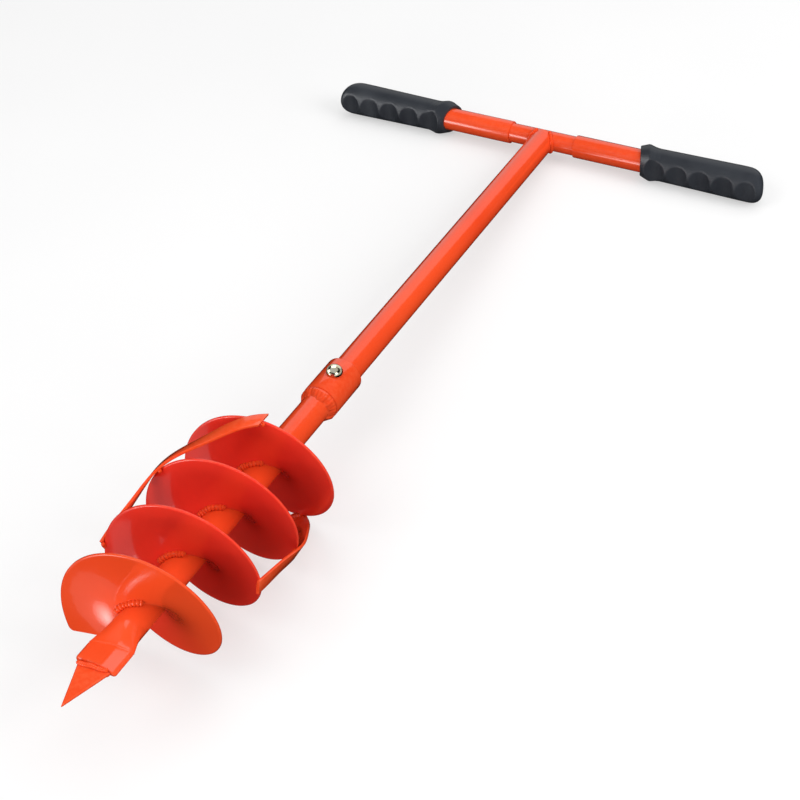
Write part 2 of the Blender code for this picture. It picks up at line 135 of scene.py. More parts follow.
def enamel(name, painted_bounce=False, weld=False):
    """Thick glossy orange-red enamel: slow waves in the film, fine orange peel, thin on edges; optionally a painted
    red bounce light, made redder behind the first turn.
    """
    mat, tree, shader, vector = blank(name)
    cloud = noise(tree, vector, 9.0, 3.0, 0.55, (-1100, 300))
    base = ramp(
        tree,
        cloud.outputs["Fac"],
        [(0.30, (0.86, 0.064, 0.014)), (0.52, (0.90, 0.074, 0.016)), (0.72, (0.93, 0.084, 0.018))],
        (-850, 300),
    )
    colour = base.outputs["Color"]
    if painted_bounce:
        # Painted bounce light: behind the first turn the paint is made redder, standing in for the red light the turns
        # throw onto each other.
        bounce_red_ramp = ramp(
            tree,
            cloud.outputs["Fac"],
            [(0.30, (0.95, 0.040, 0.024)), (0.52, (0.97, 0.046, 0.026)), (0.72, (0.98, 0.052, 0.028))],
            (-850, 550),
        )
        split = node(tree, "ShaderNodeSeparateXYZ", (-1100, 800))
        tree.links.new(vector, split.inputs["Vector"])
        along = node(tree, "ShaderNodeMapRange", (-850, 800))
        along.interpolation_type = "SMOOTHSTEP"
        along.inputs["From Min"].default_value = -0.316
        along.inputs["From Max"].default_value = -0.290
        tree.links.new(split.outputs["Y"], along.inputs["Value"])
        blend = node(tree, "ShaderNodeMix", (-550, 500), data_type="RGBA")
        tree.links.new(along.outputs["Result"], blend.inputs["Factor"])
        tree.links.new(base.outputs["Color"], blend.inputs["A"])
        tree.links.new(bounce_red_ramp.outputs["Color"], blend.inputs["B"])
        colour = blend.outputs["Result"]
    geometry = node(tree, "ShaderNodeNewGeometry", (-1400, -350))
    worn = ramp(tree, geometry.outputs["Pointiness"], [(0.50, (0, 0, 0)), (0.60, (1, 1, 1))], (-1100, -350))
    fleck = noise(tree, vector, 260.0, 2.0, 0.6, (-1100, -600))
    fleck_ramp = ramp(tree, fleck.outputs["Fac"], [(0.35, (0, 0, 0)), (0.75, (1, 1, 1))], (-850, -600))
    edge = node(tree, "ShaderNodeMath", (-600, -450), operation="MULTIPLY")
    tree.links.new(worn.outputs["Color"], edge.inputs[0])
    tree.links.new(fleck_ramp.outputs["Color"], edge.inputs[1])
    edge_gain = node(tree, "ShaderNodeMath", (-430, -450), operation="MULTIPLY")
    tree.links.new(edge.outputs[0], edge_gain.inputs[0])
    edge_gain.inputs[1].default_value = 0.55
    mix = node(tree, "ShaderNodeMix", (-300, 300), data_type="RGBA")
    tree.links.new(edge_gain.outputs[0], mix.inputs["Factor"])
    tree.links.new(colour, mix.inputs["A"])
    mix.inputs["B"].default_value = (1.0, 0.22, 0.09, 1)
    tree.links.new(mix.outputs["Result"], shader.inputs["Base Color"])
    smudge = noise(tree, vector, 34.0, 4.0, 0.6, (-1100, 0))
    rough = ramp(
        tree,
        smudge.outputs["Fac"],
        [(0.35, (0.16, 0.16, 0.16)), (0.70, (0.24, 0.24, 0.24))],
        (-850, 0),
    )
    tree.links.new(rough.outputs["Color"], shader.inputs["Roughness"])
    shader.inputs["Specular IOR Level"].default_value = 0.5
    shader.inputs["Coat Weight"].default_value = 1.0
    shader.inputs["Coat Roughness"].default_value = 0.03
    shader.inputs["Coat IOR"].default_value = 1.55
    waves = noise(tree, vector, 55.0 if not weld else 420.0, 1.5, 0.4, (-1100, -850))
    peel = noise(tree, vector, 620.0, 2.0, 0.5, (-1100, -1100))
    first = node(tree, "ShaderNodeBump", (-600, -850), Strength=0.25, Distance=0.0004 if not weld else 0.0007)
    tree.links.new(waves.outputs["Fac"], first.inputs["Height"])
    second = node(tree, "ShaderNodeBump", (-350, -950), Strength=0.12, Distance=0.00012)
    tree.links.new(peel.outputs["Fac"], second.inputs["Height"])
    tree.links.new(first.outputs["Normal"], second.inputs["Normal"])
    tree.links.new(second.outputs["Normal"], shader.inputs["Normal"])
    tree.links.new(second.outputs["Normal"], shader.inputs["Coat Normal"])
    return mat


def rubber(name):
    """Moulded black rubber: satin skin, fine pebble, a little paler where it is rubbed."""
    mat, tree, shader, vector = blank(name)
    cloud = noise(tree, vector, 26.0, 4.0, 0.6, (-1100, 300))
    base = ramp(
        tree,
        cloud.outputs["Fac"],
        [(0.30, (0.024, 0.027, 0.034)), (0.55, (0.032, 0.036, 0.044)), (0.78, (0.041, 0.046, 0.055))],
        (-850, 300),
    )
    geometry = node(tree, "ShaderNodeNewGeometry", (-1400, -350))
    rubbed = ramp(tree, geometry.outputs["Pointiness"], [(0.505, (0, 0, 0)), (0.60, (0.6, 0.6, 0.6))], (-1100, -350))
    mix = node(tree, "ShaderNodeMix", (-300, 300), data_type="RGBA")
    tree.links.new(rubbed.outputs["Color"], mix.inputs["Factor"])
    tree.links.new(base.outputs["Color"], mix.inputs["A"])
    mix.inputs["B"].default_value = (0.062, 0.064, 0.068, 1)
    tree.links.new(mix.outputs["Result"], shader.inputs["Base Color"])
    rough = ramp(tree, cloud.outputs["Fac"], [(0.3, (0.32, 0.32, 0.32)), (0.75, (0.44, 0.44, 0.44))], (-850, 0))
    tree.links.new(rough.outputs["Color"], shader.inputs["Roughness"])
    pebble = node(tree, "ShaderNodeTexVoronoi", (-1100, -700), feature="SMOOTH_F1")
    pebble.inputs["Scale"].default_value = 1500.0
    tree.links.new(vector, pebble.inputs["Vector"])
    skin = noise(tree, vector, 240.0, 3.0, 0.6, (-1100, -950))
    first = node(tree, "ShaderNodeBump", (-600, -700), Strength=0.22, Distance=0.00015)
    tree.links.new(pebble.outputs["Distance"], first.inputs["Height"])
    second = node(tree, "ShaderNodeBump", (-350, -800), Strength=0.18, Distance=0.0003)
    tree.links.new(skin.outputs["Fac"], second.inputs["Height"])
    tree.links.new(first.outputs["Normal"], second.inputs["Normal"])
    tree.links.new(second.outputs["Normal"], shader.inputs["Normal"])
    return mat


def zinc(name):
    """Bright zinc plate with a yellow passivation bloom."""
    mat, tree, shader, vector = blank(name)
    cloud = noise(tree, vector, 190.0, 3.0, 0.6, (-1100, 300))
    base = ramp(
        tree,
        cloud.outputs["Fac"],
        [(0.30, (0.62, 0.56, 0.34)), (0.50, (0.74, 0.70, 0.50)), (0.70, (0.80, 0.79, 0.70))],
        (-850, 300),
    )
    tree.links.new(base.outputs["Color"], shader.inputs["Base Color"])
    shader.inputs["Metallic"].default_value = 1.0
    rough = ramp(tree, cloud.outputs["Fac"], [(0.3, (0.12, 0.12, 0.12)), (0.75, (0.22, 0.22, 0.22))], (-850, 0))
    tree.links.new(rough.outputs["Color"], shader.inputs["Roughness"])
    scuff = noise(tree, vector, 900.0, 2.0, 0.6, (-1100, -600))
    bump = node(tree, "ShaderNodeBump", (-600, -600), Strength=0.15, Distance=0.0001)
    tree.links.new(scuff.outputs["Fac"], bump.inputs["Height"])
    tree.links.new(bump.outputs["Normal"], shader.inputs["Normal"])
    return mat


PAINT = enamel("orange_enamel")
BEAD = enamel("orange_enamel_on_weld", weld=True)
# The flights' paint carries painted bounce light: redder behind the first turn.
DEEP = enamel("orange_enamel_flights", painted_bounce=True)
RUBBER = rubber("black_rubber")
ZINC = zinc("zinc_plate")


# ------------------------------------------------------------------ mesh making
def piece(name, verts, faces, mat, cad, body="tool", sharp=35.0, place=TOOL, bevel=0.0):
    data = bpy.data.meshes.new(name)
    data.from_pydata(to_row(verts, place).tolist(), [], [tuple(int(i) for i in f) for f in faces])
    data.validate()
    data.materials.append(mat)
    for poly in data.polygons:
        poly.use_smooth = True
    data.set_sharp_from_angle(angle=math.radians(sharp))
    obj = bpy.data.objects.new(name, data)
    bpy.context.scene.collection.objects.link(obj)
    if bevel:
        made = obj.modifiers.new("Bevel", "BEVEL")
        made.width = bevel / 1000
        made.segments = 2
        made.limit_method = "ANGLE"
        made.angle_limit = math.radians(40)
        made.harden_normals = False
    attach(obj, body)
    if cad:
        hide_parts(*cad)
    return obj


def join(*parts):
    verts, faces = [], []
    for v, f in parts:
        base = len(verts)
        verts += [tuple(p) for p in v]
        faces += [tuple(i + base for i in q) for q in f]
    return verts, faces


def rings_to_mesh(rings, close_start=True, close_end=True, loop=False):
    n = len(rings[0])
    verts = [tuple(p) for ring in rings for p in ring]
    faces = []
    count = len(rings)
    for i in range(count if loop else count - 1):
        j = (i + 1) % count
        for k in range(n):
            m = (k + 1) % n
            faces.append((i * n + k, i * n + m, j * n + m, j * n + k))
    if not loop:
        if close_start:
            faces.append(tuple(reversed(range(n))))
        if close_end:
            faces.append(tuple(range((count - 1) * n, count * n)))
    return verts, faces


def revolve(profile, n=96):
    """A closed or open profile (r, z), running top to bottom on its outer side, turned about Z."""
    verts, rows = [], []
    for r, z in profile:
        if r < 1e-6:
            rows.append([len(verts)] * n)
            verts.append((0, 0, z))
        else:
            rows.append(list(range(len(verts), len(verts) + n)))
            for k in range(n):
                a = 2 * math.pi * k / n
                verts.append((r * math.cos(a), r * math.sin(a), z))
    faces = []
    for i in range(len(rows) - 1):
        for k in range(n):
            m = (k + 1) % n
            quad = [rows[i][k], rows[i + 1][k], rows[i + 1][m], rows[i][m]]
            unique = []
            for q in quad:
                if q not in unique:
                    unique.append(q)
            if len(unique) > 2:
                faces.append(tuple(unique))
    return verts, faces


def rounded_tube(r_out, r_in, z0, z1, edge=0.5):
    pts = []
    for k in range(4):
        a = math.pi / 2 * k / 3
        pts.append((r_out - edge + edge * math.sin(a), z1 - edge + edge * math.cos(a)))
    for k in range(4):
        a = math.pi / 2 * k / 3
        pts.append((r_out - edge + edge * math.cos(a), z0 + edge - edge * math.sin(a)))
    pts += [(r_in, z0), (r_in, z1), pts[0]]
    return pts


def tube_along(path, radius, sides=14, squash=1.0, up=None):
    """A round section swept along a path; radius may be a number or a list."""
    path = np.asarray(path, float)
    if np.isscalar(radius):
        radius = [radius] * len(path)
    tangents = np.gradient(path, axis=0)
    tangents /= np.linalg.norm(tangents, axis=1)[:, None]
    rings = []
    for p, t, r in zip(path, tangents, radius):
        ref = np.array(up if up is not None else (0.0, 0.0, 1.0))
        side = np.cross(t, ref)
        side /= np.linalg.norm(side)
        top = np.cross(side, t)
        rings.append(
            [
                p + side * (r * math.cos(2 * math.pi * k / sides)) + top * (r * squash * math.sin(2 * math.pi * k / sides))
                for k in range(sides)
            ]
        )
    return rings


def weld_bead(name, path, radius, cad, ripple=1.9, depth=0.13, sides=16, cyclic=False, seed=3):
    """A hand-laid weld: overlapping scales along the bead and an uneven width."""
    path = np.asarray(path, float)
    step = np.linalg.norm(np.diff(path, axis=0), axis=1)
    run = np.concatenate([[0], np.cumsum(step)])
    count = max(12, int(run[-1] / 0.32))
    at = np.linspace(0, run[-1], count)
    fine = np.stack([np.interp(at, run, path[:, k]) for k in range(3)], 1)
    rng = np.random.default_rng(seed)
    phase = rng.uniform(0, 6.28, 4)
    widths = []
    for u in at:
        scale = (u / ripple) % 1.0
        r = radius * (1 + depth * (1 - (2 * scale - 1) ** 2) - depth / 2)
        r *= 1 + 0.07 * math.sin(u / 3.1 + phase[0]) + 0.05 * math.sin(u / 1.27 + phase[1])
        if not cyclic:
            end = min(u, run[-1] - u)
            r *= math.sqrt(max(0.03, min(1.0, end / (radius * 1.1)) * (2 - min(1.0, end / (radius * 1.1)))))
        widths.append(r)
    wob = np.stack([0.12 * np.sin(at / 2.3 + phase[k]) for k in range(3)], 1) * radius
    rings = tube_along(fine + (0 if cyclic else wob), widths, sides)
    verts, faces = rings_to_mesh(rings if not cyclic else rings[:-1], loop=cyclic)
    return piece(name, verts, faces, BEAD, cad, sharp=60)


def around(degrees, r, s):
    a = math.radians(degrees)
    return np.array((r * math.cos(a), r * math.sin(a), s))


def helix_s(degrees):
    return LEAD_S + PITCH * (degrees - LEAD_DEG) / 360


# ------------------------------------------------------------------ crushed lower shaft
def stadium(half_w, half_t, n):
    """n points round a flat stadium, evenly spaced by arc length from the +X end."""
    straight = 2 * (half_w - half_t)
    arc = math.pi * half_t
    total = 2 * straight + 2 * arc
    out = []
    for k in range(n):
        d = (k / n * total + arc / 2) % total
        if d < arc:
            a = -math.pi / 2 + d / half_t
            out.append((half_w - half_t + half_t * math.cos(a), half_t * math.sin(a)))
        elif d < arc + straight:
            out.append((half_w - half_t - (d - arc), half_t))
        elif d < 2 * arc + straight:
            a = math.pi / 2 + (d - arc - straight) / half_t
            out.append((-(half_w - half_t) + half_t * math.cos(a), half_t * math.sin(a)))
        else:
            out.append((-(half_w - half_t) + (d - 2 * arc - straight), -half_t))
    return np.array(out)


def shaft_ring(s, blend, n=160, grow=0.0, skew=0.0):
    a = np.arange(n) * 2 * math.pi / n
    circle = np.stack([TUBE_R * np.cos(a), TUBE_R * np.sin(a)], 1)
    flat = stadium(CRUSH_HALF_W + grow, CRUSH_HALF_T + grow, n)
    shape = circle * blend + flat * (1 - blend)
    # The press squeezed the right-hand edge thinner, which leaves a sloping shoulder.
    reach = np.maximum(0.0, shape[:, 0] - 4.5)
    drop = 0.30 * (np.sqrt(reach**2 + 1.5**2) - 1.5) * (1 - blend) ** 0.7
    shape[:, 1] += drop * np.clip((CRUSH_HALF_T - shape[:, 1]) / (2 * CRUSH_HALF_T), 0, 1)
    # The press left its line askew: the crease climbs towards the right.
    return [(x, y, s + skew * (x + 13) / 26 * 5.0) for x, y in shape]


rings = [
    shaft_ring(CRUSH_FROM, 0.0, grow=-1.5),
    shaft_ring(CRUSH_FROM + 0.25, 0.0, grow=-0.75),
    shaft_ring(CRUSH_FROM + 0.8, 0.0, grow=-0.25),
    shaft_ring(CRUSH_FROM + 1.6, 0.0),
    shaft_ring(CRUSH_FROM + 4, 0.0),
    shaft_ring(CRUSH_TO - 8, 0.0, skew=0.0),
    shaft_ring(CRUSH_TO - 3, 0.0, skew=0.85),
    shaft_ring(CRUSH_TO - 0.9, 0.0, grow=-0.12, skew=1.0),
    shaft_ring(CRUSH_TO - 0.4, 0.0, grow=-0.16, skew=1.0),
    shaft_ring(CRUSH_TO + 0.1, 0.02, grow=0.16, skew=1.0),
    shaft_ring(CRUSH_TO + 0.6, 0.06, grow=0.1, skew=1.0),
]
steps = 22
for k in range(1, steps + 1):
    t = k / steps
    s = CRUSH_TO + 0.6 + (ROUND_FROM + 6 - CRUSH_TO - 0.6) * t
    b = 0.06 + 0.94 * (0.5 * math.sin(math.pi / 2 * t) + 0.5 * ease(t))
    rings.append(shaft_ring(s, min(1.0, b), skew=(1 - t) ** 1.3))
for s in np.linspace(ROUND_FROM + 14, SHAFT_TOP, 12):
    rings.append(shaft_ring(s, 1.0))
seam = 11 + 18
verts, faces = rings_to_mesh(rings[: seam + 1], close_end=False)
SHAFT_PIECE = piece("shaft_squashed", verts, faces, PAINT, ["auger_shaft"], sharp=50)
verts, faces = rings_to_mesh(rings[seam:], close_start=False)
piece("shaft_lower", verts, faces, PAINT, ["auger_shaft"], sharp=50)

# ------------------------------------------------------------------ blade
t = BLADE_T / 2
rim = 0.75
outline = [(0.0, 0.0), (BLADE_HALF_W, BLADE_TO), (-BLADE_HALF_W, BLADE_TO)]
inner = [(0.0, 2.6), (BLADE_HALF_W - 1.0, BLADE_TO), (-BLADE_HALF_W + 1.0, BLADE_TO)]
verts = [(x, -t, s) for x, s in inner] + [(x, -rim, s) for x, s in outline]
verts += [(x, rim, s) for x, s in outline] + [(x, t, s) for x, s in inner]
faces = [(0, 1, 2), (11, 10, 9)]
for level in range(3):
    for k in range(3):
        m = (k + 1) % 3
        faces.append((level * 3 + m, level * 3 + k, (level + 1) * 3 + k, (level + 1) * 3 + m))
blade = piece("blade", verts, faces, PAINT, ["point_blade"], sharp=20, bevel=0.25)

for side, sign, seed in (("upper", -1, 5), ("lower", 1, 8)):
    path = [
        (x, sign * (BLADE_T / 2 + 1.0 + 0.9 * (x > 0) * 0.2), BLADE_TO - 1.2 + 0.10 * x)
        for x in np.linspace(-13.6, 12.6, 14)
    ]
    weld_bead("blade_bead_" + side, path, 1.75, ["blade_weld_" + side], 1.7, 0.2, seed=seed)


# ------------------------------------------------------------------ flights, one continuous ribbon
def lead_angles(radii):
    """Where the sheet starts at each radius: a straight cut from root to rim with a round corner."""
    a = around(LEAD_ROOT_DEG, 12.9, 0)[:2]
    b = around(LEAD_RIM_DEG, FLIGHT_R, 0)[:2]
    u = (b - a) / np.linalg.norm(b - a)
    w = np.array([-u[1], u[0]])
    if np.dot(w, around(LEAD_RIM_DEG + 20, 40, 0)[:2] - a) < 0:
        w = -w
    c = FLIGHT_R - LEAD_CORNER_R
    base = a + w * LEAD_CORNER_R
    along = -np.dot(base, u) + math.sqrt(max(0, np.dot(base, u) ** 2 - np.dot(base, base) + c * c))
    centre = base + u * along
    touch = a + u * along
    r_touch = np.linalg.norm(touch)
    out = []
    for r in radii:
        if r <= r_touch:
            d = np.dot(a, u)
            k = -d + math.sqrt(max(0.0, d * d - np.dot(a, a) + r * r))
            p = a + u * k
            out.append(math.degrees(math.atan2(p[1], p[0])))
        else:
            cc = np.linalg.norm(centre)
            cosine = (r * r + cc * cc - LEAD_CORNER_R**2) / (2 * r * cc)
            swing = math.degrees(math.acos(min(1.0, max(-1.0, cosine))))
            out.append(math.degrees(math.atan2(centre[1], centre[0])) - swing)
    return np.array(out)


def flight_ribbon(name, cad):
    radii = np.concatenate([np.linspace(FLIGHT_ROOT, 52, 14), np.linspace(54, FLIGHT_R - 1.0, 8), [FLIGHT_R - 0.35, FLIGHT_R]])
    starts = lead_angles(np.maximum(radii, 12.95))
    end = LEAD_DEG + 360 * TURNS
    columns = 150 * TURNS
    grid = np.concatenate([np.linspace(0, 1, 12)[:-1] * (6 / (end - 150)), np.linspace(6 / (end - 150), 1, columns)])
    count, depth = len(grid), len(radii)
    top, bottom = [], []
    for u in grid:
        for r, start in zip(radii, starts):
            degrees = start + u * (end - start)
            th = math.radians(degrees)
            lift = PITCH / (2 * math.pi)
            # Normal of the helicoid, pointing to the handle.
            normal = np.array([lift * math.sin(th), -lift * math.cos(th), r])
            normal /= np.linalg.norm(normal)
            point = around(degrees, r, helix_s(degrees))
            half = SHEET_T / 2
            if r > FLIGHT_R - 0.2:
                half *= 0.45
            elif r > FLIGHT_R - 0.6:
                half *= 0.85
            top.append(point + normal * half)
            bottom.append(point - normal * half)
    verts = top + bottom
    off = count * depth
    faces = []
    for i in range(count - 1):
        for k in range(depth - 1):
            a, b = i * depth + k, i * depth + k + 1
            c, d = a + depth, b + depth
            faces.append((a, b, d, c))
            faces.append((off + a, off + c, off + d, off + b))
        for k in (0, depth - 1):
            a = i * depth + k
            c = a + depth
            quad = (a, off + a, off + c, c)
            faces.append(quad if k else tuple(reversed(quad)))
    for i in (0, count - 1):
        for k in range(depth - 1):
            a = i * depth + k
            quad = (a, off + a, off + a + 1, a + 1)
            faces.append(quad if i == 0 else tuple(reversed(quad)))
    return piece(name, verts, faces, DEEP, cad, sharp=55)


flight_ribbon("flight_ribbon", [f"flight_{k + 1}" for k in range(TURNS)])

for index in range(TURNS):
    first = LEAD_DEG + 54 + 360 * index
    path = []
    for k in range(24):
        degrees = first + 82 * k / 23
        path.append(around(degrees, TUBE_R + 1.9, helix_s(degrees) - SHEET_T / 2 - 0.9))
    weld_bead(f"root_bead_{index + 1}", path, 2.35, [f"flight_weld_{index + 1}"], 2.6, 0.34, seed=11 + index)


# ------------------------------------------------------------------ side bars
def bar(name, knots, cad, overhang=(BAR_OVERHANG, BAR_OVERHANG), nip=0.0):
    reach = FLIGHT_R + BAR_GAP + BAR_T / 2 + 0.3
    (a0, s0), (a1, s1), (a2, s2) = knots
    first = math.hypot(s1 - s0, math.radians(a1 - a0) * reach)
    second = math.hypot(s2 - s1, math.radians(a2 - a1) * reach)
    u1 = first / (first + second)
    e0, e1 = -overhang[0] / (first + second), 1 + overhang[1] / (first + second)
    sag = [BAR_SAG * reach * (1 - math.cos(math.radians(turn) / 2)) for turn in (a1 - a0, a2 - a1)]

    def at(u):
        l0 = (u - u1) * (u - 1) / u1
        l1 = u * (u - 1) / (u1 * (u1 - 1))
        l2 = u * (u - u1) / (1 - u1)
        v = u / u1 if u < u1 else (u - u1) / (1 - u1)
        dip = sag[0 if u < u1 else 1] * math.sin(math.pi * v) ** 2 if 0 < u < 1 else 0.0
        return around(a0 * l0 + a1 * l1 + a2 * l2, reach - dip, s0 * l0 + s1 * l1 + s2 * l2)

    rings = []
    count = 61
    e = 0.45
    for k in range(count):
        u = e0 + (e1 - e0) * k / (count - 1)
        centre = at(u)
        along = at(u + 0.01) - at(u - 0.01)
        along /= np.linalg.norm(along)
        out = centre * (1, 1, 0)
        out /= np.linalg.norm(out)
        out = out - along * np.dot(out, along)
        out /= np.linalg.norm(out)
        across = np.cross(out, along)
        w, h = BAR_W / 2, BAR_T / 2
        shape = []
        for sx, sy in ((-1, -1), (1, -1), (1, 1), (-1, 1)):
            corner = [(w - e, h), (w - e * 0.3, h - e * 0.3), (w, h - e)]
            if sx * sy < 0:
                corner = corner[::-1]
            corner = corner if (sx, sy) in ((1, 1), (1, -1)) else corner
            pts = [(sx * x, sy * y) for x, y in corner]
            shape += pts[::-1] if (sx, sy) in ((-1, -1), (1, -1), (1, 1), (-1, 1)) else pts
        order = sorted(range(len(shape)), key=lambda q: math.atan2(shape[q][1] / h, shape[q][0] / w))
        # The first end is sheared off at a slant, so one edge stops short.
        slant = nip * max(0.0, 1 - k / 6)
        rings.append(
            [
                centre + across * shape[q][0] + out * shape[q][1] + along * slant * (0.5 + shape[q][0] / BAR_W)
                for q in order
            ]
        )
    verts, faces = rings_to_mesh(rings)
    return piece(name, verts, faces, PAINT, cad, sharp=60)


bar("bar_upper", BAR_UPPER, ["side_bar_upper"], (BAR_OVERHANG, 2.0), 9.0)
bar("bar_lower", BAR_LOWER, ["side_bar_lower"])


def tack(name, degrees, s, seed, length=9.0, lean=-0.4, radius=1.7):
    """A short tack weld where a side bar sits on a rim."""
    path = []
    for k in range(8):
        u = (k / 7 - 0.5) * length
        path.append(around(degrees + math.degrees(u * math.cos(lean) / FLIGHT_R), FLIGHT_R - 0.5, s + u * math.sin(lean)))
    return weld_bead(name, path, radius, [], 1.8, 0.25, seed=seed)


for k, (knots, label) in enumerate(((BAR_UPPER, "upper"), (BAR_LOWER, "lower"))):
    for j, (a, s) in enumerate(knots):
        turn = round((s - LEAD_S) / PITCH - (a - LEAD_DEG) / 360)
        rim_s = helix_s(a + 360 * turn)
        tack(f"bar_tack_{label}_{j + 1}", a, rim_s - 1.8, 31 + 3 * k + j)

# ------------------------------------------------------------------ socket and its fillet
verts, faces = revolve(rounded_tube(SOCKET_R, SOCKET_BORE, SOCKET_FROM, SOCKET_TO, 0.9), 128)
piece("socket_pipe", verts, faces, PAINT, ["socket"], sharp=60)


def socket_fillet():
    rng = np.random.default_rng(21)
    phase = rng.uniform(0, 6.28, 6)
    rings = []
    n = 260
    for k in range(n):
        a = 2 * math.pi * k / n
        lump = 0.8 * math.sin(3 * a + phase[0]) + 0.55 * math.sin(7 * a + phase[1]) + 0.3 * math.sin(17 * a + phase[2])
        scale = ((k / n * 30) % 1.0)
        ripple = 0.5 * (1 - (2 * scale - 1) ** 2) - 0.3 + 0.3 * math.sin(11 * a + phase[3])
        profile = [
            (SOCKET_R - 0.9, SOCKET_FROM + 0.3),
            (SOCKET_R - 1.1 + 0.2 * ripple, SOCKET_FROM - 0.4),
            (SOCKET_R - 0.3 + 0.4 * ripple, SOCKET_FROM - 1.6),
            (SOCKET_R - 0.4 + 0.9 * ripple, SOCKET_FROM - 3.2 - 0.3 * lump),
            (SOCKET_R - 1.2 + ripple, SOCKET_FROM - 5.0 - 0.6 * lump),
            (TUBE_R + 1.7 + ripple, SOCKET_FROM - 6.9 - lump),
            (TUBE_R + 0.6 + 0.4 * ripple, SOCKET_FROM - 8.4 - lump),
            (TUBE_R - 0.4, SOCKET_FROM - 9.0 - lump),
            (TUBE_R - 0.6, SOCKET_FROM + 0.3),
        ]
        rings.append([(r * math.cos(a), r * math.sin(a), z) for r, z in profile])
    verts, faces = rings_to_mesh(rings, loop=True)
    return piece("socket_fillet", verts, faces, BEAD, ["socket_weld"], sharp=70)


socket_fillet()


# ------------------------------------------------------------------ T handle
def riser():
    n = 128
    reach = CORE_R - 0.5
    top = []
    for k in range(n):
        a = 2 * math.pi * k / n
        y = TUBE_R * math.sin(a)
        drop = math.sqrt(max(0.0, reach * reach - y * y))
        top.append(CROSSBAR_AT - max(drop, 1.5))
    rings = []
    for s in np.linspace(RISER_FROM + 0.5, CROSSBAR_AT - 16, 16):
        rings.append([(TUBE_R * math.cos(2 * math.pi * k / n), TUBE_R * math.sin(2 * math.pi * k / n), s) for k in range(n)])
    for f in np.linspace(0.2, 1.0, 6):
        rings.append(
            [
                (
                    TUBE_R * math.cos(2 * math.pi * k / n),
                    TUBE_R * math.sin(2 * math.pi * k / n),
                    CROSSBAR_AT - 16 + (top[k] - CROSSBAR_AT + 16) * f,
                )
                for k in range(n)
            ]
        )
    inside = [
        [(RISER_BORE * math.cos(2 * math.pi * k / n), RISER_BORE * math.sin(2 * math.pi * k / n), top[k]) for k in range(n)],
        [(RISER_BORE * math.cos(2 * math.pi * k / n), RISER_BORE * math.sin(2 * math.pi * k / n), RISER_FROM) for k in range(n)],
    ]
    rings += inside
    foot = [((TUBE_R - 0.4) * math.cos(2 * math.pi * k / n), (TUBE_R - 0.4) * math.sin(2 * math.pi * k / n), RISER_FROM) for k in range(n)]
    rings.append(foot)
    verts, faces = rings_to_mesh(rings, loop=True)
    return piece("riser", verts, faces, PAINT, ["riser_tube"], sharp=50)


riser()
verts, faces = revolve(rounded_tube(CORE_R, CORE_BORE, -CORE_HALF, CORE_HALF, 0.3), 96)
piece("crossbar_core_tube", verts, faces, PAINT, ["crossbar_core"], place=RIGHT, sharp=60)
for side, place in (("left", LEFT), ("right", RIGHT)):
    verts, faces = revolve(rounded_tube(SLEEVE_R, CORE_R - 0.3, SLEEVE_FROM, SLEEVE_TO, 0.55), 112)
    piece("sleeve_tube_" + side, verts, faces, PAINT, ["sleeve_" + side], place=place, sharp=60)


def tee_bead(name, sign, cad, seed):
    path = []
    reach = TUBE_R + 0.7
    for k in range(40):
        phi = math.radians(-62 + 124 * k / 39)
        x, y = sign * reach * math.cos(phi), reach * math.sin(phi)
        drop = math.sqrt(max(4.0, (CORE_R + 0.8) ** 2 - y * y))
        path.append((x, y, CROSSBAR_AT - drop))
    return weld_bead(name, path, 1.9, cad, 2.0, 0.22, seed=seed)


tee_bead("tee_bead_left", -1, ["tee_weld_left"], 41)
tee_bead("tee_bead_right", 1, ["tee_weld_right"], 45)


# ------------------------------------------------------------------ grips
def grip_radius(x):
    """Radius of the turned body at distance x from the middle of the crossbar."""
    knots = [
        (GRIP_FROM, FLANGE_R - 3.9),
        (GRIP_FROM + 0.5, FLANGE_R - 3.3),
        (GRIP_FROM + 4.5, FLANGE_R - 1.8),
        (GRIP_FROM + 9.0, FLANGE_R - 0.15),
        (GRIP_FROM + 10.8, FLANGE_R),
        (GRIP_FROM + 12.0, FLANGE_R - 0.35),
        (GRIP_FROM + 16.5, GRIP_R_IN + 0.55),
        (GRIP_FROM + 21.0, GRIP_R_IN),
        (GRIP_FROM + 60.0, GRIP_R_IN + 0.5),
        (GRIP_TO - 22.0, GRIP_R_OUT),
    ]
    xs, rs = zip(*knots)
    if x <= GRIP_TO - 17:
        return float(np.interp(x, xs, rs))
    u = min(1.0, (x - (GRIP_TO - 17)) / 17)
    return GRIP_R_OUT * max(0.0, 1 - u**2.8) ** (1 / 2.8)


def soft_min(a, b, k):
    h = max(k - abs(a - b), 0.0) / k
    return min(a, b) - h * h * k / 4


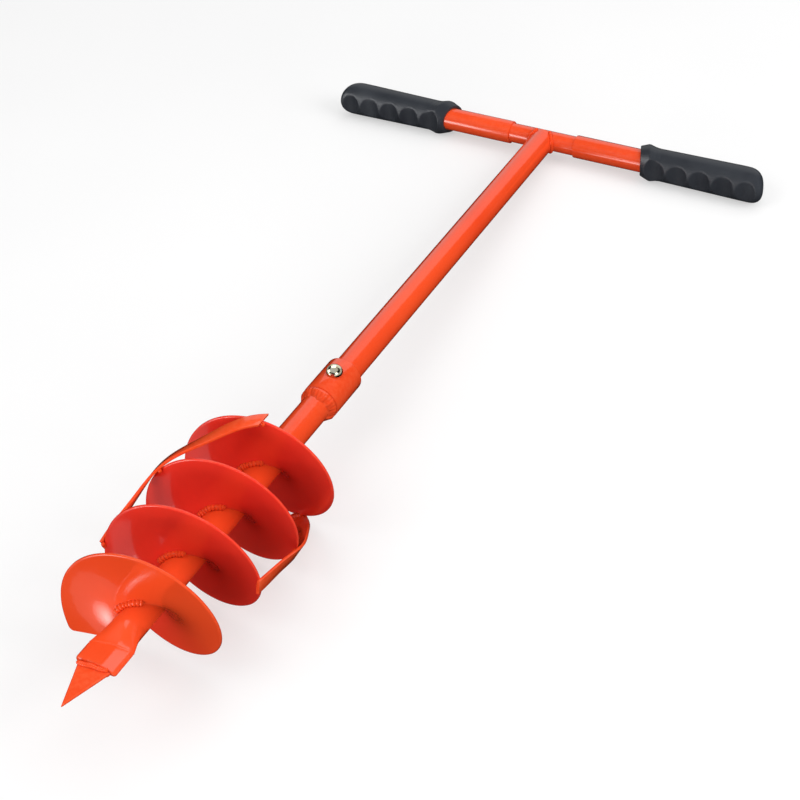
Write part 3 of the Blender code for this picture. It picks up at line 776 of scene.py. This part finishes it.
def grip(side, place, mirror):
    n = 180
    xs = list(np.linspace(GRIP_FROM, GRIP_FROM + 1.0, 4))[:-1]
    xs += list(np.linspace(GRIP_FROM + 1.0, GRIP_TO - 17, 230))
    xs += [GRIP_TO - 17 + 17 * math.sin(math.pi / 2 * t) for t in np.linspace(0.02, 1.0, 34)]
    rings = []
    for x in xs:
        base = grip_radius(x)
        ring = []
        for k in range(n):
            # Angle 0 points to the tip of the tool, where the fingers close.
            a = 2 * math.pi * k / n
            r = base
            c = math.cos(a)
            lean = GRIP_LEAN * base * c
            if c > 0.15 and base > 1.0:
                for g in range(GROOVES):
                    centre = GROOVE_FIRST + GROOVE_PITCH * g
                    near = x + lean - centre
                    if abs(near) < GROOVE_R:
                        body_r = GRIP_R_IN + (GRIP_R_OUT - GRIP_R_IN) * g / (GROOVES - 1)
                        reach = body_r + GROOVE_R - GROOVE_DEPTH - math.sqrt(GROOVE_R**2 - near**2)
                        r = soft_min(r, reach / c, 0.9)
            ring.append((r * math.cos(a), r * math.sin(a), x + lean))
        rings.append(ring)
    # Mouth: a rounded lip, then the bore that holds the sleeve.
    lip = []
    for radius, out, lean in (
        (FLANGE_R - 4.3, GRIP_FROM, 1),
        (GRIP_BORE + 0.5, GRIP_FROM + 0.05, 1),
        (GRIP_BORE, GRIP_FROM + 0.7, 1),
        (GRIP_BORE, SLEEVE_TO + 1.4, 0),
    ):
        ring = []
        for k in range(n):
            a = 2 * math.pi * k / n
            ring.append((radius * math.cos(a), radius * math.sin(a), out + lean * GRIP_LEAN * radius * math.cos(a)))
        lip.append(ring)
    rings = lip[::-1] + rings
    verts, faces = rings_to_mesh(rings)
    return piece("grip_" + side + "_rubber", verts, faces, RUBBER, ["grip_" + side], place=place, sharp=50)


# In these places local X points to the tip of the tool and local Z out along the bar.
GRIP_RIGHT = (np.array([0.0, 0.0, CROSSBAR_AT]), np.array([[0, 0, 1.0], [0, 1.0, 0], [-1.0, 0, 0]]))
GRIP_LEFT = (np.array([0.0, 0.0, CROSSBAR_AT]), np.array([[0, 0, -1.0], [0, -1.0, 0], [-1.0, 0, 0]]))
GRIP_PIECES = [grip("right", GRIP_RIGHT, 1), grip("left", GRIP_LEFT, -1)]

# ------------------------------------------------------------------ bolt, washers, nut
base = SOCKET_R + 0.25
dome = [(0.0, base + HEAD_H)]
for k in range(1, 22):
    a = math.radians(90 - 90 * k / 21)
    dome.append((HEAD_R * math.cos(a) ** 0.96, base + 0.5 + (HEAD_H - 0.5) * math.sin(a)))
dome += [(HEAD_R, base + 0.25), (HEAD_R - 0.25, base), (BOLT_R, base)]
z = base - 4
thread = []
while z > -BOLT_END + 0.8:
    if z > -17:
        thread.append((BOLT_R, z))
        z -= 5
    else:
        thread += [(BOLT_R, z), (BOLT_R - 0.02, z - 0.15), (BOLT_R - 0.42, z - 0.5), (BOLT_R - 0.02, z - 0.85)]
        z -= 1.0
dome += thread + [(BOLT_R - 0.3, -BOLT_END + 0.5), (BOLT_R - 0.9, -BOLT_END), (0.0, -BOLT_END)]
verts, faces = revolve(dome, 72)
BOLT_PIECE = piece("bolt_head_and_shank", verts, faces, ZINC, ["carriage_bolt"], body="bolt", place=BOLT, sharp=40)

for name in ("flat_washer", "spring_washer", "hex_nut"):
    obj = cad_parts[name]
    obj.data.materials.clear()
    obj.data.materials.append(ZINC)

# ------------------------------------------------------------------ floor, light, camera
floor_mat, tree, shader, vector = blank("floor_card")
soft = noise(tree, vector, 3.0, 2.0, 0.5, (-1000, 200))
tone = ramp(tree, soft.outputs["Fac"], [(0.3, (0.44, 0.44, 0.44)), (0.7, (0.46, 0.46, 0.46))], (-800, 200))
tree.links.new(tone.outputs["Color"], shader.inputs["Base Color"])
shader.inputs["Roughness"].default_value = 0.9
shader.inputs["Specular IOR Level"].default_value = 0.1
shader.inputs["Emission Color"].default_value = (1, 1, 1, 1)
shader.inputs["Emission Strength"].default_value = 0.50
floor_data = bpy.data.meshes.new("floor")
floor_data.from_pydata([(-9, -9, 0), (9, -9, 0), (9, 9, 0), (-9, 9, 0)], [], [(0, 1, 2, 3)])
floor_data.materials.append(floor_mat)
floor = bpy.data.objects.new("floor", floor_data)
bpy.context.scene.collection.objects.link(floor)
floor.visible_glossy = False
floor.visible_diffuse = False

scene = bpy.context.scene
scene.view_settings.view_transform = "Standard"
scene.view_settings.look = "None"
world = bpy.data.worlds.new("studio")
scene.world = world
world.use_nodes = True
world.node_tree.nodes["Background"].inputs["Color"].default_value = (1, 1, 1, 1)
world.node_tree.nodes["Background"].inputs["Strength"].default_value = 0.33
world.cycles_visibility.glossy = False


def softbox(name, at, target, size, radiance, diffuse=True, glossy=True):
    """A rectangular light given by how bright its face is; it may light only the paint or only the gloss."""
    light = bpy.data.lights.new(name, "AREA")
    light.shape = "RECTANGLE"
    light.size, light.size_y = size
    light.energy = radiance * math.pi * size[0] * size[1]
    obj = bpy.data.objects.new(name, light)
    obj.location = at
    obj.rotation_euler = (Vector(target) - Vector(at)).to_track_quat("-Z", "Y").to_euler()
    obj.visible_diffuse = diffuse
    obj.visible_glossy = glossy
    scene.collection.objects.link(obj)
    return obj


softbox("key", (-1.0, -1.2, 1.9), (0, 0, 0), (1.5, 1.5), 2.75, glossy=False)
softbox("fill_top", (0.5, 0.9, 2.3), (0, 0, 0), (2.6, 2.6), 1.2, glossy=False)
softbox("fill_front", (0.0, -2.4, 0.45), (0, 0, 0.05), (1.6, 0.9), 5.2, glossy=False)
softbox("fill_right", (2.0, 0.2, 1.2), (0, 0, 0), (1.4, 1.4), 5.2, glossy=False)
softbox("back_left", (-0.60, 1.75, 1.05), (-0.60, 0, 1.05), (2.62, 2.1), 0.55, diffuse=False)
softbox("front_card", (-1.5, -1.75, 0.10), (-1.5, 0, 0.10), (3.6, 1.7), 0.28, diffuse=False)
for step in range(6):
    lamp = softbox(f"front_lamp_{step + 1}", (-1.0, -2.2 + 0.01 * step, 0.06), (0, 0, 0.05), (0.2 + 0.2 * step, 0.24 + 0.2 * step), 0.72, diffuse=False)
    lamp.data.shape = "ELLIPSE"

# The plated bolt mirrors a wider studio than the paint shows.
plated = bpy.data.collections.new("plated")
for obj in [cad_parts[name] for name in ("flat_washer", "spring_washer", "hex_nut")] + [BOLT_PIECE]:
    plated.objects.link(obj)
for name, at, size, radiance in (
    ("zinc_back", (-0.75, 1.25, 1.45), (1.2, 1.0), 2.6),
    ("zinc_left", (-1.75, -0.8, 0.95), (1.2, 1.3), 2.6),
    ("zinc_right", (2.1, -1.1, 1.2), (1.4, 1.4), 2.6),
    ("zinc_room", (0.0, -0.2, 3.4), (6.0, 6.0), 0.55),
    ("zinc_low", (0.0, -3.0, 0.0), (7.0, 1.6), 0.75),
    ("zinc_low_right", (3.0, 0.0, 0.0), (7.0, 1.6), 0.6),
    ("zinc_low_left", (-3.0, 0.0, 0.0), (7.0, 1.6), 0.45),
    ("zinc_behind", (0.0, 3.0, 0.6), (7.0, 2.4), 0.45),
):
    lamp = softbox(name, at, (0, 0, 0.06), size, radiance, diffuse=False)
    lamp.light_linking.receiver_collection = plated

# The rubber is duller, so it gets brighter panels of its own.
rubbery = bpy.data.collections.new("rubbery")
for obj in GRIP_PIECES:
    rubbery.objects.link(obj)
for name, at, size, radiance in (
    ("rubber_left", (-1.35, -0.65, 0.80), (1.3, 0.9), 4.2),
    ("rubber_front", (-0.5, -1.5, 1.0), (1.4, 0.7), 0.8),
):
    lamp = softbox(name, at, (0.1, 0.4, 0.06), size, radiance, diffuse=False)
    lamp.light_linking.receiver_collection = rubbery

# The folded shoulder of the squashed shaft catches a lamp that the round pieces don't show.
shoulder = bpy.data.collections.new("shoulder")
for obj in [SHAFT_PIECE] + [bpy.data.objects[name] for name in ("bar_upper", "bar_lower", "blade_bead_upper")]:
    shoulder.objects.link(obj)
lamp = softbox("shoulder_lamp", (0.06, 0.45, 2.42), (0, -0.33, 0.08), (1.15, 2.6), 0.95, diffuse=False)
lamp.light_linking.receiver_collection = shoulder

# Camera, solved in the tool frame and carried into the row frame.
RIGHT_V = (0.88079915, 0.05610689, 0.47015409)
DOWN_V = (0.26649306, 0.76200783, -0.59019108)
FORWARD_V = (-0.39137488, 0.64513261, 0.65622376)
TIP_IN_CAMERA = (-237.48, 215.00, 1116.25)
axes = np.array([RIGHT_V, DOWN_V, FORWARD_V])
centre = -axes.T @ np.array(TIP_IN_CAMERA)
camera_at = to_row([centre])[0]
rows = axes @ TO_ROW.T
right, down, forward = [Vector(v).normalized() for v in rows]
camera_data = bpy.data.cameras.new("camera")
camera_data.sensor_width = 36.0
camera_data.lens = 1593.4 / 800 * 36.0
camera_data.clip_end = 50
camera = bpy.data.objects.new("camera", camera_data)
matrix = Matrix((right, -down, -forward)).transposed().to_4x4()
matrix.translation = Vector(camera_at)
camera.matrix_world = matrix
scene.collection.objects.link(camera)
scene.camera = camera
